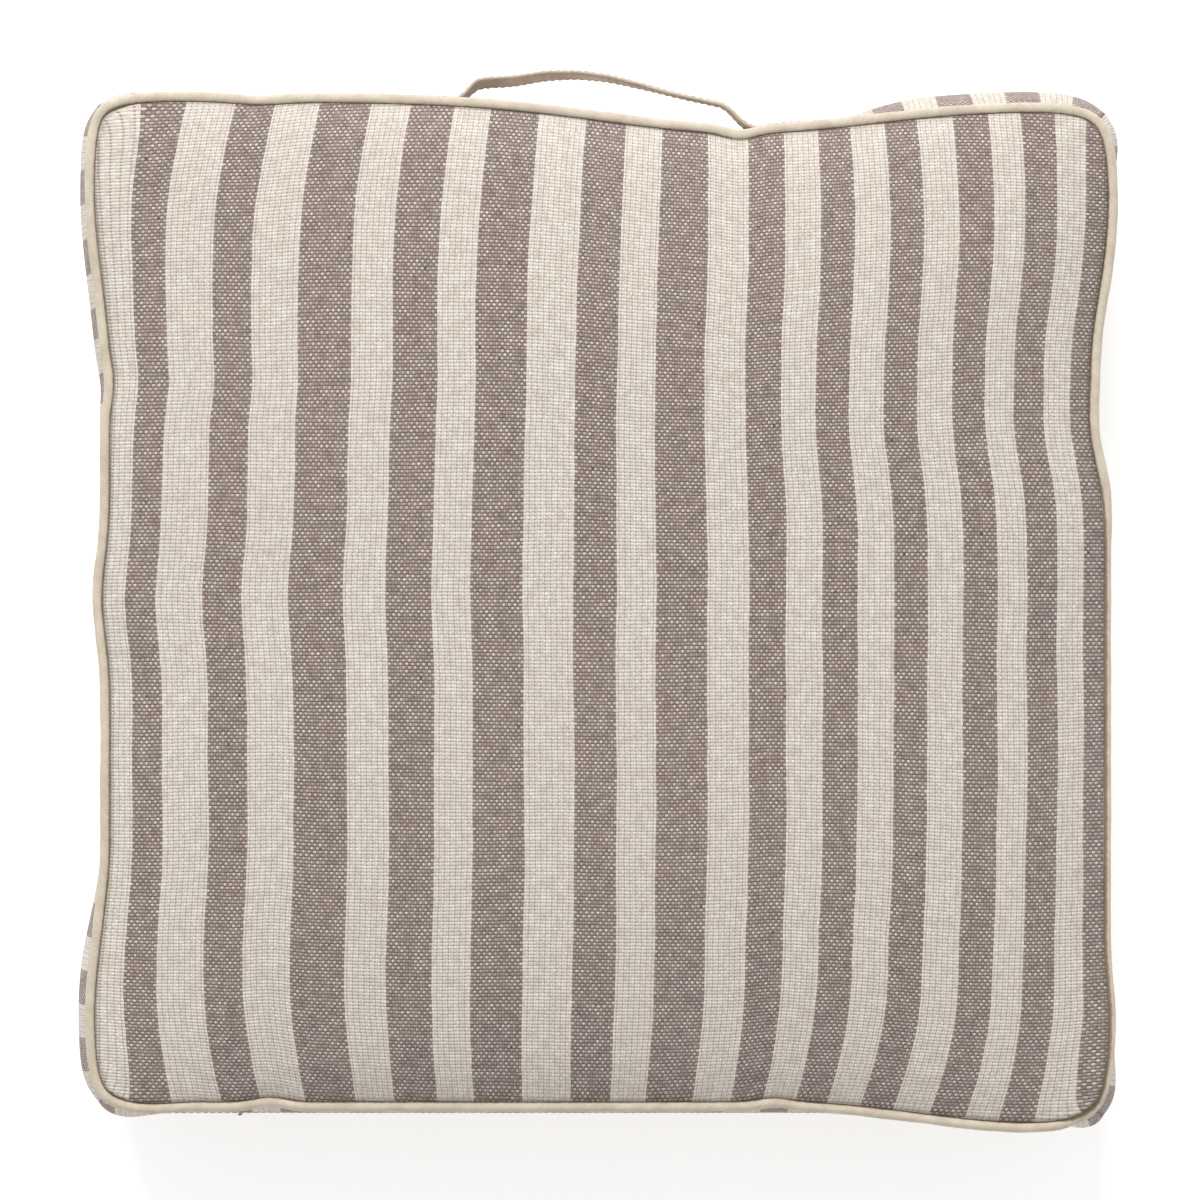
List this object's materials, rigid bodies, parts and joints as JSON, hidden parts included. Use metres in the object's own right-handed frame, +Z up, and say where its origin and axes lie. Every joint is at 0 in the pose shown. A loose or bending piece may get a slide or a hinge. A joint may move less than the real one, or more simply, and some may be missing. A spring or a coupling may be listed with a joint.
{
  "type": "floor cushion",
  "caption": "Square box floor cushion in striped woven cotton with piped edges, a sewn strap handle on one side and a zip on the other, over a separate calico pad.",
  "frame": {"origin": "middle of the flat underside, on the surface the cushion lies on", "axes": "+Z up through the cushion's thickness, +Y towards the side with the handle, -Y towards the zip, +X along the zip"},
  "size_m": [0.5034, 0.512, 0.1121],
  "materials": {
    "striped_cotton": "coarse plain weave of recycled cotton, cream and taupe stripes",
    "plain_cotton": "smooth plain-weave cotton, cream",
    "cotton_cord": "twisted soft cotton filler cord",
    "sewing_thread": "spun polyester sewing thread, cream",
    "zip_tape": "woven polyester zip tape, beige",
    "zip_coil": "nylon coil, beige",
    "zip_metal": "die-cast zinc, dull nickel colour",
    "calico": "unbleached calico",
    "fibre_filling": "white polyester fibre"
  },
  "bodies": {
    "cushion": {"top_panel": "striped_cotton", "bottom_panel": "striped_cotton", "boxing_left": "striped_cotton", "boxing_right": "striped_cotton", "boxing_handle_side": "striped_cotton", "boxing_zip_upper": "striped_cotton", "boxing_zip_lower": "striped_cotton", "piping_cover_top": "plain_cotton", "piping_cover_bottom": "plain_cotton", "piping_cord_top": "cotton_cord", "piping_cord_bottom": "cotton_cord", "handle_end_left": "plain_cotton", "handle_end_right": "plain_cotton", "handle_stitch_left": "sewing_thread", "handle_stitch_right": "sewing_thread", "zip_tape_upper": "zip_tape", "zip_tape_lower": "zip_tape", "zip_coil_upper": "zip_coil", "zip_coil_lower": "zip_coil", "zip_closed_stop": "zip_metal", "zip_open_stop": "zip_metal", "pad_case_upper": "calico", "pad_case_lower": "calico", "pad_filling": "fibre_filling"},
    "handle": {"handle_strap": "plain_cotton"},
    "slider": {"zip_slider": "zip_metal"},
    "puller": {"zip_puller": "zip_metal"}
  },
  "joints": [
    {"name": "handle_swing", "type": "hinge", "parent": "cushion", "child": "handle", "pos_m": [0.0035, 0.2505, 0.052], "axis": [0.9936, -0.1127, 0], "range_deg": [-50, 50]},
    {"name": "zip_slide", "type": "slide", "parent": "cushion", "child": "slider", "axis": [-1, 0, 0], "range_m": [0, 0.34]},
    {"name": "puller_swing", "type": "hinge", "parent": "slider", "child": "puller", "pos_m": [0.17, -0.2478, 0.052], "axis": [0, 0, 1], "range_deg": [0, 175]}
  ]
}
